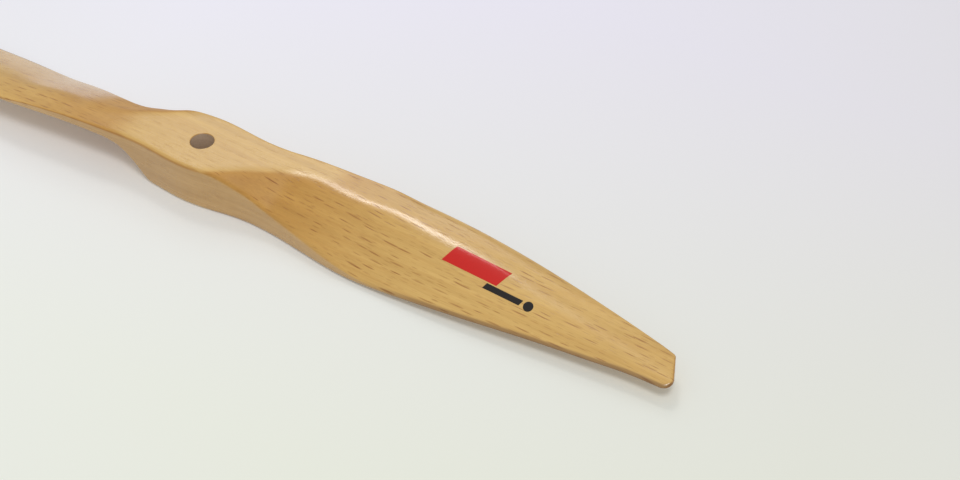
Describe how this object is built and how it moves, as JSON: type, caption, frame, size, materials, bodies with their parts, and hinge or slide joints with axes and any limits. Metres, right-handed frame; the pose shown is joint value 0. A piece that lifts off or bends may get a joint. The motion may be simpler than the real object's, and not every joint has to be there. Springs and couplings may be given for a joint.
{
  "type": "two-blade fixed-pitch propeller",
  "caption": "Carved hardwood model-aircraft propeller: flat-faced hub with a plain through bore, twisted cambered blades, raked tips and a small printed mark.",
  "frame": {"origin": "on the bore axis at the rear hub face, the flat face that sits on the engine's drive washer", "axes": "+Z along the bore axis towards the front of the propeller (the direction of thrust), +X out along the marked blade, +Y towards that blade's leading edge"},
  "size_m": [0.3556, 0.0342, 0.0166],
  "materials": {
    "beech": "clear gloss lacquer over sanded beech",
    "red_print": "printed film under gloss lacquer",
    "black_print": "printed film under gloss lacquer"
  },
  "bodies": {
    "root": {"beech_propeller": "beech", "red_panel_film": "red_print", "black_bar_film": "black_print", "black_dot_film": "black_print"}
  },
  "joints": []
}
